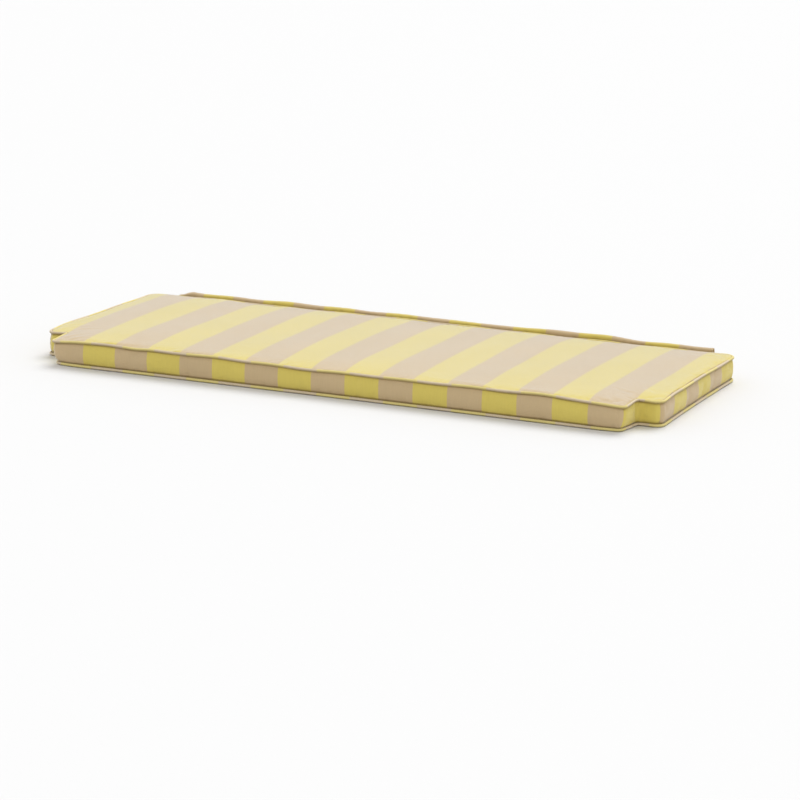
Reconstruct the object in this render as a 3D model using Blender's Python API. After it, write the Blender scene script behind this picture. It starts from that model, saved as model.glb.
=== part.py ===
"""Bench cushion: a thin boxed cushion of striped woven cloth, notched at its front corners.

The cushion is one filled solid with a crowned top, a slightly bulging boxing and a groove at each
of its two seams. A piping lies in each groove. A flap of the same cloth is sewn into the rear top
seam, arches over and hangs behind the cushion.

Metres, +Z up. The front edge faces -Y, and the cushion lies on the plane z = 0.
"""
import math

import bmesh
import bpy

# Plan, measured between the seams
FRONT_WIDTH = 1.050
BODY_WIDTH = 1.135
CUSHION_DEPTH = 0.445
NOTCH_DEPTH = 0.060

# Height
PIPING_RADIUS = 0.0024
BOXING_HEIGHT = 0.034
FLOOR_CLEARANCE = 0.0006
LOWER_SEAM_Z = FLOOR_CLEARANCE + PIPING_RADIUS
UPPER_SEAM_Z = LOWER_SEAM_Z + BOXING_HEIGHT + 2 * PIPING_RADIUS

# The crown rises more near the edge and then slowly towards the middle
EDGE_CROWN = 0.0045
EDGE_CROWN_REACH = 0.110
MIDDLE_CROWN = 0.0028
MIDDLE_CROWN_REACH = 0.200

# Drawn-in sides, the bulge of the boxing, rounder near its seams than in its middle, and the
# unevenness of a filled piece
LONG_SIDE_PULL = 0.0030
SHORT_SIDE_PULL = 0.0020
BOXING_BULGE = 0.0022
BOXING_FULLNESS = 3
WAVE_FADE = 0.030
TOP_WAVE_REACH = 0.060
FLAT_MIDDLE_INSET = 0.150

# The filling pushes the upper seam up between the corners, most of all along the front, and
# unevenly: places where the seam lies higher or lower than the rest
SEAM_RISE = 0.0033
SEAM_RISE_CORNER_REACH = 0.045
SEAM_SWELLS = (
    {"x": -0.420, "width": 0.028, "height": 0.0011},
    {"x": -0.362, "width": 0.020, "height": -0.0016},
    {"x": -0.200, "width": 0.032, "height": 0.0014},
    {"x": -0.035, "width": 0.065, "height": -0.0020},
    {"x": 0.245, "width": 0.050, "height": 0.0008},
    {"x": 0.380, "width": 0.055, "height": 0.0026},
)
REAR_SWELLS = (
    {"x": -0.545, "width": 0.060, "height": -0.0020},
    {"x": -0.020, "width": 0.170, "height": 0.0020},
    {"x": 0.330, "width": 0.045, "height": 0.0012},
)

# The lower seam is drawn in at the two front corners, where the boxing leans inwards
CORNER_TUCK_X = 0.0080
CORNER_TUCK_Y = 0.0045
CORNER_TUCK_REACH = 0.030
CORNER_TUCK_POWER = 2.5

# Waves: height, wave length along X, how much a step along Y counts as one along X, and phase
SEAM_WAVES = (
    {"height": 0.0004, "length": 0.123, "slant": 0.7, "phase": 0.6},
    {"height": 0.0003, "length": 0.310, "slant": -0.5, "phase": 2.1},
)
TOP_WAVES = (
    {"height": 0.0008, "length": 0.410, "slant": 0.6, "phase": 0.9},
    {"height": 0.0005, "length": 0.230, "slant": -0.8, "phase": 1.7},
)
FLAP_WAVES = (
    {"height": 0.0005, "length": 0.270, "slant": 0.0, "phase": 1.3},
    {"height": 0.0003, "length": 0.105, "slant": 0.0, "phase": 0.0},
)

# Places where the flap stands higher or lower than the rest
FLAP_SWELLS = (
    {"x": -0.270, "width": 0.120, "height": 0.0010},
    {"x": 0.030, "width": 0.090, "height": -0.0010},
    {"x": 0.270, "width": 0.120, "height": 0.0022},
)

# Seams: how far the piping's centre stands out, and the groove that it lies in, whose straight
# facets come closer to the piping than its corners do
PIPING_OUTSET = 0.0010
PIECE_GAP = 0.0003
FACET_ALLOWANCE = 0.0002
GROOVE_RADIUS = PIPING_RADIUS + PIECE_GAP + FACET_ALLOWANCE
GROOVE_ANGLES = (250, 215, 180, 145, 110)
PIPING_SIDES = 6

# Corners of the plan: radius at the seam, how the radius changes further in, largest radius,
# and steps round the corner
CORNERS = {
    "front": {"radius": 0.008, "growth": 0.5, "largest": 0.026, "steps": 4},
    "inner": {"radius": 0.008, "growth": 1.0, "largest": 0.016, "steps": 3},
    "shoulder": {"radius": 0.014, "growth": 0.4, "largest": 0.018, "steps": 4},
    "rear": {"radius": 0.020, "growth": 0.8, "largest": 0.080, "steps": 5},
}
TRUE_OFFSET_REACH = 0.006
RUN_STEPS = (2, 2, 13, 36, 13, 2, 2, 34)

# Insets of the rings on the underside and on the top panel
BOTTOM_INSETS = (0.060, 0.014, 0.004)
TOP_INSETS = (0.0020, 0.0050, 0.0100, 0.0170, 0.0270, 0.0420, 0.0650, 0.1000, FLAT_MIDDLE_INSET)
BOXING_STATIONS = (0.2, 0.5, 0.8)

# Rear flap: its two ends and thickness, and its section from the seam to the hem, as distances
# behind the rear seam and above the upper seam. Its arch lies down at the left end, with a small
# puffed place beside it.
FLAP_LEFT = -0.515
FLAP_RIGHT = 0.524
FLAP_THICKNESS = 0.0018
FLAP_STEPS = 40
FLAP_SECTION = (
    {"out": 0.0022, "up": -0.0064},
    {"out": 0.0050, "up": -0.0004},
    {"out": 0.0056, "up": 0.0032},
    {"out": 0.0076, "up": 0.0057},
    {"out": 0.0112, "up": 0.0069},
    {"out": 0.0150, "up": 0.0056},
    {"out": 0.0172, "up": 0.0022},
    {"out": 0.0180, "up": -0.0050},
    {"out": 0.0176, "up": -0.0180},
)
FLAP_TOP = 0.0069
FLAP_HEM_OUT = 0.0165
FLAP_HEM_Z = 0.0065
FLAP_END_DROP = 0.85
FLAP_END_REACH = 0.017
FLAP_PUFF = 0.20
FLAP_PUFF_X = -0.489
FLAP_PUFF_REACH = 0.012

BEIGE_CLOTH = (0.76, 0.64, 0.45, 1.0)
YELLOW_CLOTH = (0.80, 0.71, 0.37, 1.0)
CLOTH_ROUGHNESS = 0.85
SHARP_ANGLE = math.radians(50)


def clear_scene():
    for item in list(bpy.data.objects):
        bpy.data.objects.remove(item, do_unlink=True)


def cloth(name, colour):
    material = bpy.data.materials.new(name)
    material.use_nodes = True
    shader = material.node_tree.nodes["Principled BSDF"]
    shader.inputs["Base Color"].default_value = colour
    shader.inputs["Roughness"].default_value = CLOTH_ROUGHNESS
    shader.inputs["Metallic"].default_value = 0.0
    material.diffuse_color = colour
    return material


def add_object(name, mesh, material):
    mesh.materials.append(material)
    item = bpy.data.objects.new(name, mesh)
    bpy.context.scene.collection.objects.link(item)
    return item


def plan_corners(inset):
    """The corners of the notched plan, counter-clockwise from the front right: x, y and kind."""
    half_front = FRONT_WIDTH / 2 - inset
    half_body = BODY_WIDTH / 2 - inset
    shoulder_y = NOTCH_DEPTH + inset
    rear_y = CUSHION_DEPTH - inset
    right = [
        (half_front, inset, "front"),
        (half_front, shoulder_y, "inner"),
        (half_body, shoulder_y, "shoulder"),
        (half_body, rear_y, "rear"),
    ]
    left = [(-x, y, kind) for x, y, kind in reversed(right)]
    return right + left


def corner_radius(kind, inset):
    """Close to the seam a corner is a true offset; further in, it grows rounder."""
    corner = CORNERS[kind]
    if kind == "inner":
        return min(corner["radius"] + inset, corner["largest"])
    near = min(inset, TRUE_OFFSET_REACH)
    far = max(inset - TRUE_OFFSET_REACH, 0.0)
    return min(corner["radius"] - near + corner["growth"] * far, corner["largest"])


def towards(start, end):
    length = math.hypot(end[0] - start[0], end[1] - start[1])
    return (end[0] - start[0]) / length, (end[1] - start[1]) / length


def corner_arc(before, corner, after, inset):
    """The points of one rounded corner."""
    x, y, kind = corner
    radius = corner_radius(kind, inset)
    into = towards(before, corner)
    out = towards(corner, after)
    centre_x = x + (out[0] - into[0]) * radius
    centre_y = y + (out[1] - into[1]) * radius
    steps = CORNERS[kind]["steps"]
    points = []
    for step in range(steps + 1):
        turn = math.pi / 2 * step / steps
        points.append((
            centre_x + radius * (into[0] * math.sin(turn) - out[0] * math.cos(turn)),
            centre_y + radius * (into[1] * math.sin(turn) - out[1] * math.cos(turn)),
        ))
    return points


def outline(inset):
    """One closed ring round the plan, drawn in by inset: every ring has the same point count."""
    corners = plan_corners(inset)
    count = len(corners)
    arcs = [
        corner_arc(corners[i - 1], corners[i], corners[(i + 1) % count], inset)
        for i in range(count)
    ]
    ring = []
    for i, arc in enumerate(arcs):
        ring.extend(arc)
        start = arc[-1]
        end = arcs[(i + 1) % count][0]
        for step in range(1, RUN_STEPS[i]):
            share = step / RUN_STEPS[i]
            ring.append((start[0] + (end[0] - start[0]) * share, start[1] + (end[1] - start[1]) * share))
    return ring


def drawn_in(x, y):
    """Pull the long and the short sides in between their corners."""
    across = max(0.0, 1.0 - (x / (FRONT_WIDTH / 2)) ** 2)
    new_y = y + LONG_SIDE_PULL * across * (1.0 - 2.0 * y / CUSHION_DEPTH)
    side_middle = (NOTCH_DEPTH + CUSHION_DEPTH) / 2
    side_half = (CUSHION_DEPTH - NOTCH_DEPTH) / 2
    along = max(0.0, 1.0 - ((y - side_middle) / side_half) ** 2)
    new_x = x * (1.0 - SHORT_SIDE_PULL * along / (BODY_WIDTH / 2))
    return new_x, new_y


def tucked(x, y, z):
    """How far a point near a front corner is drawn in, from nothing at the upper seam: x and y."""
    from_corner = math.hypot(abs(x) - FRONT_WIDTH / 2, y)
    below = max(1.0 - z / UPPER_SEAM_Z, 0.0)
    share = math.exp(-((from_corner / CORNER_TUCK_REACH) ** 2)) * below ** CORNER_TUCK_POWER
    return -math.copysign(CORNER_TUCK_X * share, x), CORNER_TUCK_Y * share


def waves(table, x, y):
    """The sum of a table's waves at one place of the plan, in metres."""
    total = 0.0
    for wave in table:
        place = (x + wave["slant"] * y) / wave["length"]
        total += wave["height"] * math.sin(2 * math.pi * place + wave["phase"])
    return total


def swells(table, x):
    """The sum of a table's swells at x, in metres."""
    return sum(row["height"] * math.exp(-(((x - row["x"]) / row["width"]) ** 2)) for row in table)


def seam_height(x, y):
    """How far the upper seam lies above or below its plain height at one place of the plan."""
    corners = ((FRONT_WIDTH / 2, 0.0), (BODY_WIDTH / 2, NOTCH_DEPTH))
    nearest = min(math.hypot(abs(x) - corner_x, y - corner_y) for corner_x, corner_y in corners)
    along = 1.0 - math.exp(-((nearest / SEAM_RISE_CORNER_REACH) ** 2))
    from_front = min(max(y / CUSHION_DEPTH, 0.0), 1.0)
    front_rise = (SEAM_RISE + swells(SEAM_SWELLS, x)) * along * (1.0 - from_front)
    return front_rise + swells(REAR_SWELLS, x) * from_front + waves(SEAM_WAVES, x, y)


def crown(inset):
    """Height of the top panel above the edge of the upper groove."""
    near = 1.0 - (1.0 - min(inset / EDGE_CROWN_REACH, 1.0)) ** 2
    far = 1.0 - (1.0 - min(inset / MIDDLE_CROWN_REACH, 1.0)) ** 2
    return EDGE_CROWN * near + MIDDLE_CROWN * far


def groove(seam_z):
    """The groove of one seam, from its lower lip to its upper lip, as (inset, z)."""
    stations = []
    for degrees in GROOVE_ANGLES:
        angle = math.radians(degrees)
        inset = -PIPING_OUTSET - GROOVE_RADIUS * math.cos(angle)
        stations.append((inset, seam_z + GROOVE_RADIUS * math.sin(angle)))
    return stations


def body_stations():
    """The cushion's section, from the underside round the edge to the top, as (inset, z)."""
    lower = groove(LOWER_SEAM_Z)
    upper = groove(UPPER_SEAM_Z)
    boxing = []
    for share in BOXING_STATIONS:
        z = lower[-1][1] + (upper[0][1] - lower[-1][1]) * share
        boxing.append((-BOXING_BULGE * (1.0 - abs(2.0 * share - 1.0) ** BOXING_FULLNESS), z))
    bottom = [(inset, 0.0) for inset in BOTTOM_INSETS]
    top = [(inset, upper[-1][1] + crown(inset)) for inset in TOP_INSETS]
    return bottom + lower + boxing + upper + top


def seam_share(inset, z):
    """How much a point follows the rise and fall of the upper seam."""
    if z <= LOWER_SEAM_Z:
        return 0.0
    return min(z / UPPER_SEAM_Z, 1.0) * math.exp(-max(inset, 0.0) / WAVE_FADE)


def top_share(inset, z):
    """How much a point follows the unevenness of the filling: not at the seam nor in the middle."""
    if z <= UPPER_SEAM_Z:
        return 0.0
    if inset < TOP_WAVE_REACH:
        return max(inset, 0.0) / TOP_WAVE_REACH
    return (FLAT_MIDDLE_INSET - inset) / (FLAT_MIDDLE_INSET - TOP_WAVE_REACH)


def body_point(x, y, inset, z):
    """One point of the cushion, with the pulled-in sides and the waves of seam and top."""
    new_x, new_y = drawn_in(x, y)
    tuck_x, tuck_y = tucked(x, y, z)
    rise = seam_height(x, y) * seam_share(inset, z) + waves(TOP_WAVES, x, y) * top_share(inset, z)
    return new_x + tuck_x, new_y + tuck_y, z + rise


def bridge(mesh, rings, closed_section):
    """Join rings of equal length with quads; a closed section joins the last ring to the first."""
    pairs = list(zip(rings, rings[1:]))
    if closed_section:
        pairs.append((rings[-1], rings[0]))
    for inner, outer in pairs:
        count = len(inner)
        for i in range(count):
            j = (i + 1) % count
            mesh.faces.new((inner[i], outer[i], outer[j], inner[j]))


def finish_mesh(name, mesh):
    """Triangulate, point every face outwards and hand over the finished mesh."""
    bmesh.ops.triangulate(mesh, faces=mesh.faces[:], quad_method="SHORT_EDGE", ngon_method="BEAUTY")
    bmesh.ops.recalc_face_normals(mesh, faces=mesh.faces[:])
    if mesh.calc_volume(signed=True) < 0:
        bmesh.ops.reverse_faces(mesh, faces=mesh.faces[:])
    data = bpy.data.meshes.new(name)
    mesh.to_mesh(data)
    mesh.free()
    data.shade_smooth()
    data.set_sharp_from_angle(angle=SHARP_ANGLE)
    return data


def make_cushion(material):
    mesh = bmesh.new()
    rings = []
    for inset, z in body_stations():
        points = [body_point(x, y, inset, z) for x, y in outline(inset)]
        rings.append([mesh.verts.new(point) for point in points])
    bridge(mesh, rings, closed_section=False)
    mesh.faces.new(rings[0])
    mesh.faces.new(rings[-1])
    return add_object("cushion", finish_mesh("cushion", mesh), material)


def make_piping(name, seam_z, follows_seam, material):
    """A closed tube round the plan; each ring of the bridge is one edge line of the tube."""
    mesh = bmesh.new()
    rings = []
    for side in range(PIPING_SIDES):
        angle = 2 * math.pi * side / PIPING_SIDES
        inset = -PIPING_OUTSET - PIPING_RADIUS * math.cos(angle)
        line = []
        z = seam_z + PIPING_RADIUS * math.sin(angle)
        for x, y in outline(inset):
            new_x, new_y = drawn_in(x, y)
            tuck_x, tuck_y = tucked(x, y, z)
            rise = seam_height(x, y) if follows_seam else 0.0
            line.append(mesh.verts.new((new_x + tuck_x, new_y + tuck_y, z + rise)))
        rings.append(line)
    bridge(mesh, rings, closed_section=True)
    return add_object(name, finish_mesh(name, mesh), material)


def flap_line(x):
    """The flap's middle line at x, from the seam to the hem, as (y, z)."""
    rear_y = drawn_in(x, CUSHION_DEPTH)[1]
    seam_z = UPPER_SEAM_Z + seam_height(x, CUSHION_DEPTH)
    from_left = x - FLAP_LEFT
    arch = 1.0 - FLAP_END_DROP * math.exp(-((from_left / FLAP_END_REACH) ** 2))
    arch += FLAP_PUFF * math.exp(-(((x - FLAP_PUFF_X) / FLAP_PUFF_REACH) ** 2))
    wave = waves(FLAP_WAVES, x, 0.0)
    swell = swells(FLAP_SWELLS, x)
    line = []
    for station in FLAP_SECTION:
        share = max(station["up"], 0.0) / FLAP_TOP
        up = station["up"] * (arch if station["up"] > 0 else 1.0)
        line.append((rear_y + station["out"] + wave * share, seam_z + up + (wave + swell) * share))
    line.append((rear_y + FLAP_HEM_OUT + wave, FLAP_HEM_Z))
    return line


def sides_of(line, thickness):
    """Closed outline round a middle line: out along one side and back along the other."""
    left = []
    right = []
    last = len(line) - 1
    for i, (y, z) in enumerate(line):
        before = line[max(i - 1, 0)]
        after = line[min(i + 1, last)]
        along = towards(before, after)
        left.append((y - along[1] * thickness / 2, z + along[0] * thickness / 2))
        right.append((y + along[1] * thickness / 2, z - along[0] * thickness / 2))
    return left + list(reversed(right))


def make_flap(material):
    mesh = bmesh.new()
    rings = []
    for step in range(FLAP_STEPS + 1):
        x = FLAP_LEFT + (FLAP_RIGHT - FLAP_LEFT) * step / FLAP_STEPS
        section = sides_of(flap_line(x), FLAP_THICKNESS)
        rings.append([mesh.verts.new((x, y, z)) for y, z in section])
    bridge(mesh, rings, closed_section=False)
    for end in (rings[0], rings[-1]):
        half = len(end) // 2
        for i in range(half - 1):
            mesh.faces.new((end[i], end[i + 1], end[-2 - i], end[-1 - i]))
    return add_object("rear_flap", finish_mesh("rear_flap", mesh), material)


def centre_on_origin(items):
    """Move all pieces together, so that the middle of their box is over the origin."""
    xs = [vertex.co.x for item in items for vertex in item.data.vertices]
    ys = [vertex.co.y for item in items for vertex in item.data.vertices]
    shift_x = -(min(xs) + max(xs)) / 2
    shift_y = -(min(ys) + max(ys)) / 2
    for item in items:
        item.location = (shift_x, shift_y, 0.0)


def main():
    clear_scene()
    pieces = [
        make_cushion(cloth("cushion_cloth", BEIGE_CLOTH)),
        make_piping("upper_piping", UPPER_SEAM_Z, True, cloth("upper_piping_cloth", YELLOW_CLOTH)),
        make_piping("lower_piping", LOWER_SEAM_Z, False, cloth("lower_piping_cloth", YELLOW_CLOTH)),
        make_flap(cloth("flap_cloth", BEIGE_CLOTH)),
    ]
    centre_on_origin(pieces)


main()
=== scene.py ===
"""Looks of a striped bench cushion: a notched, boxed and piped seat cushion with a rear flap.

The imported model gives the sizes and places. The cover is a fine cloth mesh over the filling, puckered
along its two piped seams; each piping is a covered cord with small gathers; the flap is a doubled sheet.
Metres, +Z up; the front edge faces -Y and the cushion lies on the plane z = 0.
"""
import math

import bmesh
import bpy
import numpy as np
from mathutils import Matrix, Vector
from mathutils.kdtree import KDTree


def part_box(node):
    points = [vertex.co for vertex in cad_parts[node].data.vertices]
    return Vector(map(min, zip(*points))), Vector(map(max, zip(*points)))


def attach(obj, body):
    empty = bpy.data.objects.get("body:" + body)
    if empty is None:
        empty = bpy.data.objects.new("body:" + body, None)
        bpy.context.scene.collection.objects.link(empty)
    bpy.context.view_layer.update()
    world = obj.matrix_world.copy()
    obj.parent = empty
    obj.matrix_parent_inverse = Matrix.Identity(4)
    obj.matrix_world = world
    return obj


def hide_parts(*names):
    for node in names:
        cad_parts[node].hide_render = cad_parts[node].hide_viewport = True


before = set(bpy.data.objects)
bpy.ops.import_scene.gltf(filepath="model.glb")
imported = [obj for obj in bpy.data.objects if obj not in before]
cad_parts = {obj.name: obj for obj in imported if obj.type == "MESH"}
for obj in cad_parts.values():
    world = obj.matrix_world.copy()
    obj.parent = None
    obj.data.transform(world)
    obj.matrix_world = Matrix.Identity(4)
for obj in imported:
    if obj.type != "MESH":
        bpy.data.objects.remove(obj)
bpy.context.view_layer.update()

# Plan between the seams, from the boxes of the pipings
PIPING_RADIUS = 0.0024
PIPING_OUTSET = 0.0010
PIPING_REACH = PIPING_RADIUS + PIPING_OUTSET
UPPER_LOW, UPPER_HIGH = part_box("upper_piping")
LOWER_LOW, LOWER_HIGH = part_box("lower_piping")
FRONT_Y = UPPER_LOW[1] + PIPING_REACH
REAR_Y = UPPER_HIGH[1] - PIPING_REACH
DEPTH = REAR_Y - FRONT_Y
HALF_FRONT = 0.525
HALF_BODY = 0.5675
NOTCH_DEPTH = 0.060
SHOULDER_Y = FRONT_Y + NOTCH_DEPTH
LOWER_SEAM_Z = (LOWER_LOW[2] + LOWER_HIGH[2]) / 2
UPPER_SEAM_Z = 0.0418

# Stripes
STRIPE = 2 * HALF_FRONT / 17
PIPING_STRIPE = 0.0611
PIPING_STRIPE_START = -0.5072

# Section of the filled cushion. The top panel dips a little to its seam, behind the piping.
LIP = 0.0026
GROOVE_INSET = 0.0018
TOP_EDGE_INSET = 0.0017
TOP_EDGE_RISE = 0.0019
TOP_TURN = ((0.00112, 0.00158), (0.00125, 0.0011))
TOP_DIP = 0.0015
TOP_DIP_REACH = 0.0030
EDGE_CROWN = 0.0045
EDGE_CROWN_REACH = 0.110
MIDDLE_CROWN = 0.0028
MIDDLE_CROWN_REACH = 0.200
BOXING_BULGE = 0.0022
BOXING_FULLNESS = 3
BOXING_ROWS = 8
LONG_SIDE_PULL = 0.0030
SHORT_SIDE_PULL = 0.0020
UNDERSIDE_TURN = (0.0008, 0.0005)
BOTTOM_INSETS = (0.004, 0.014, 0.060)

# Corners of the plan at the right; the left ones mirror them: x, y, way inwards and radius
CONVEX_CORNERS = (
    (HALF_FRONT, FRONT_Y, 1, 0.008),
    (HALF_BODY, SHOULDER_Y, 1, 0.014),
    (HALF_BODY, REAR_Y, -1, 0.020),
)
INNER_CORNER_FILLET = 0.0033
INNER_CORNER_REACH = 0.006

# Rise of the upper seam between the corners, with its higher and lower places: x, width and height
SEAM_RISE = 0.0033
SEAM_RISE_CORNER_REACH = 0.045
SEAM_SWELLS = (
    (-0.420, 0.028, 0.0011),
    (-0.362, 0.020, -0.0016),
    (-0.200, 0.032, 0.0014),
    (-0.035, 0.065, -0.0020),
    (0.245, 0.050, 0.0008),
    (0.380, 0.055, 0.0026),
)
REAR_SWELLS = ((-0.545, 0.060, -0.0020), (-0.020, 0.170, 0.0020), (0.330, 0.045, 0.0012))

# Waves of the seams and of the top: height, length, slant and phase
SEAM_WAVES = ((0.0004, 0.123, 0.7, 0.6), (0.0003, 0.310, -0.5, 2.1))
TOP_WAVES = ((0.0008, 0.410, 0.6, 0.9), (0.0005, 0.230, -0.8, 1.7))
TOP_WAVE_REACH = 0.060
SEAM_FADE = 0.030

# The lower seam is drawn in at the two front corners
CORNER_TUCK_X = 0.0080
CORNER_TUCK_Y = 0.0045
CORNER_TUCK_REACH = 0.030
CORNER_TUCK_POWER = 2.5

# Mesh: cells along the front, and fine and coarse cells from front to rear
CELL = 0.0051
CORNER_CELL = 0.0030
CORNER_CELL_REACH = 0.030
FINE_CELL = 0.0038
NOTCH_CELL = FINE_CELL * 1.5
COARSE_CELL = 0.0090
FINE_REACH = 0.045

# Runs of the plan's ring that lie along Y: the sides of the notches and of the body
SIDE_RUNS = (1, 3, 5, 7)


def graded(start, end, fine, coarse, reach):
    """Positions from start to end, close together near both ends and wider apart between."""
    places = [0.0]
    length = end - start
    while places[-1] < length:
        near = min(places[-1], length - places[-1])
        places.append(places[-1] + fine + (coarse - fine) * min(max(near, 0.0) / reach, 1.0))
    return start + np.array(places) * length / places[-1]


def even(start, end, cell):
    """Positions from start to end at even steps of about one cell."""
    return np.linspace(start, end, max(int(round(abs(end - start) / cell)), 1) + 1)


def waves(table, x, y):
    """The sum of a table's waves; a step along Y counts as slant steps along X."""
    total = np.zeros_like(x)
    for height, length, slant, phase in table:
        total = total + height * np.sin(2 * np.pi * (x + slant * (y - FRONT_Y)) / length + phase)
    return total


def rounded(points, inset):
    """Round the corners of the plan for points on, or inside, the ring drawn in by inset."""
    result = points.copy()
    side = np.where(points[:, 0] < 0, -1.0, 1.0)
    x = np.abs(points[:, 0])
    y = points[:, 1]
    for corner_x, corner_y, inwards, radius in CONVEX_CORNERS:
        ring_radius = radius - inset
        centre_x = corner_x - radius
        centre_y = corner_y + inwards * radius
        p = x - centre_x
        q = (centre_y - y) * inwards
        near = (p > 0) & (q > 0) & (p <= ring_radius + 1e-6) & (q <= ring_radius + 1e-6)
        new_p = p * np.sqrt(np.clip(1 - (q / ring_radius) ** 2 / 2, 0, 1))
        new_q = q * np.sqrt(np.clip(1 - (p / ring_radius) ** 2 / 2, 0, 1))
        result[near, 0] = (side * (centre_x + new_p))[near]
        result[near, 1] = (centre_y - inwards * new_q)[near]
    from_corner = np.hypot(x - (HALF_FRONT - inset), y - (SHOULDER_Y + inset))
    push = INNER_CORNER_FILLET * math.sqrt(0.5) * np.exp(-(from_corner / INNER_CORNER_REACH) ** 2)
    result[:, 0] += side * push
    result[:, 1] -= push
    return result


def drawn_in(points):
    """Pull the long and the short sides in between their corners."""
    x = points[:, 0]
    y = points[:, 1] - FRONT_Y
    across = np.clip(1 - (x / HALF_FRONT) ** 2, 0, None)
    middle = (NOTCH_DEPTH + DEPTH) / 2
    along = np.clip(1 - ((y - middle) / (DEPTH - middle)) ** 2, 0, None)
    new_y = points[:, 1] + LONG_SIDE_PULL * across * (1 - 2 * y / DEPTH)
    return np.column_stack([x * (1 - SHORT_SIDE_PULL * along / HALF_BODY), new_y])


def swells(table, x):
    """The sum of a table's swells: place, width and height."""
    return sum(height * np.exp(-((x - place) / width) ** 2) for place, width, height in table)


def seam_height(points):
    """How far the upper seam lies above or below its plain height."""
    x = points[:, 0]
    y = points[:, 1]
    from_front_corner = np.hypot(np.abs(x) - HALF_FRONT, y - FRONT_Y)
    from_shoulder = np.hypot(np.abs(x) - HALF_BODY, y - SHOULDER_Y)
    nearest = np.minimum(from_front_corner, from_shoulder)
    along = 1 - np.exp(-(nearest / SEAM_RISE_CORNER_REACH) ** 2)
    rearward = np.clip((y - FRONT_Y) / DEPTH, 0, 1)
    front_rise = (SEAM_RISE + swells(SEAM_SWELLS, x)) * along * (1 - rearward)
    return front_rise + swells(REAR_SWELLS, x) * rearward + waves(SEAM_WAVES, x, y)


def tucked(points, z):
    """How far points near a front corner are drawn in, from nothing at the upper seam."""
    x = points[:, 0]
    from_corner = np.hypot(np.abs(x) - HALF_FRONT, points[:, 1] - FRONT_Y)
    share = np.exp(-(from_corner / CORNER_TUCK_REACH) ** 2)
    share = share * np.clip(1 - z / UPPER_SEAM_Z, 0, 1) ** CORNER_TUCK_POWER
    return np.column_stack([-np.sign(x) * CORNER_TUCK_X * share, CORNER_TUCK_Y * share])


def plan_edges(inset, lines):
    """The sharp plan's ring at an inset, counter-clockwise from the front left, and each edge's run.

    lines holds the places along the front, the notch side, the shoulder and the body side.
    """
    front, notch, wing, body = lines
    inner_x = HALF_FRONT - inset
    outer_x = HALF_BODY - inset
    low_y = FRONT_Y + inset
    step_y = SHOULDER_Y + inset
    high_y = REAR_Y - inset
    notch_y = low_y + (step_y - low_y) * notch
    wing_x = inner_x + (outer_x - inner_x) * wing
    body_y = step_y + (high_y - step_y) * body
    front_x = inner_x * (2 * front - 1)
    rear_x = np.concatenate([-wing_x[::-1], front_x[1:-1], wing_x])
    runs = [
        np.column_stack([front_x, np.full_like(front_x, low_y)]),
        np.column_stack([np.full_like(notch_y, inner_x), notch_y]),
        np.column_stack([wing_x, np.full_like(wing_x, step_y)]),
        np.column_stack([np.full_like(body_y, outer_x), body_y]),
        np.column_stack([rear_x[::-1], np.full_like(rear_x, high_y)]),
        np.column_stack([np.full_like(body_y, -outer_x), body_y[::-1]]),
        np.column_stack([-wing_x[::-1], np.full_like(wing_x, step_y)]),
        np.column_stack([np.full_like(notch_y, -inner_x), notch_y[::-1]]),
    ]
    edge_of = np.concatenate([np.full(len(run) - 1, i) for i, run in enumerate(runs)])
    return np.concatenate([run[:-1] for run in runs]), edge_of


def ring_at(inset, lines):
    """The plan's ring at an inset, rounded and drawn in, then the sharp ring and each edge's run."""
    sharp, edge_of = plan_edges(inset, lines)
    return drawn_in(rounded(sharp, inset)), sharp, edge_of


def crown(away):
    """Rise of the top panel at a distance from the plan's edges."""
    near = 1 - (1 - np.clip(away / EDGE_CROWN_REACH, 0, 1)) ** 2
    far = 1 - (1 - np.clip(away / MIDDLE_CROWN_REACH, 0, 1)) ** 2
    return EDGE_CROWN * near + MIDDLE_CROWN * far


def from_edges(points):
    """Distance from the plan's edges, with the corners rounded off."""
    x = np.abs(points[:, 0])
    y = points[:, 1]
    notch = np.hypot(np.clip(HALF_FRONT - x, 0, None), np.clip(y - SHOULDER_Y, 0, None))
    distances = np.stack([y - FRONT_Y, HALF_BODY - x, REAR_Y - y, notch])
    distances = np.clip(distances, 1e-6, None)
    return np.sum(distances ** -4.0, axis=0) ** -0.25


def top_z(points):
    """Height of the top panel, with its crown, its waves and the dip to its seam."""
    away = from_edges(points)
    fade = np.exp(-away / SEAM_FADE)
    uneven = np.clip(away / TOP_WAVE_REACH, 0, 1)
    dip = TOP_DIP * np.exp(-away / TOP_DIP_REACH)
    return (UPPER_SEAM_Z + LIP - dip + crown(away) + seam_height(points) * fade
            + waves(TOP_WAVES, points[:, 0], points[:, 1]) * uneven)


def new_object(name, points, faces, materials, face_materials=None):
    """A smooth mesh object in the scene."""
    mesh = bpy.data.meshes.new(name)
    mesh.from_pydata([tuple(p) for p in points], [], [tuple(f) for f in faces])
    for material in materials:
        mesh.materials.append(material)
    if face_materials is not None:
        mesh.polygons.foreach_set("material_index", np.asarray(face_materials, dtype=np.int32))
    mesh.polygons.foreach_set("use_smooth", np.ones(len(mesh.polygons), dtype=bool))
    mesh.update()
    item = bpy.data.objects.new(name, mesh)
    bpy.context.scene.collection.objects.link(item)
    return item


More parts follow.
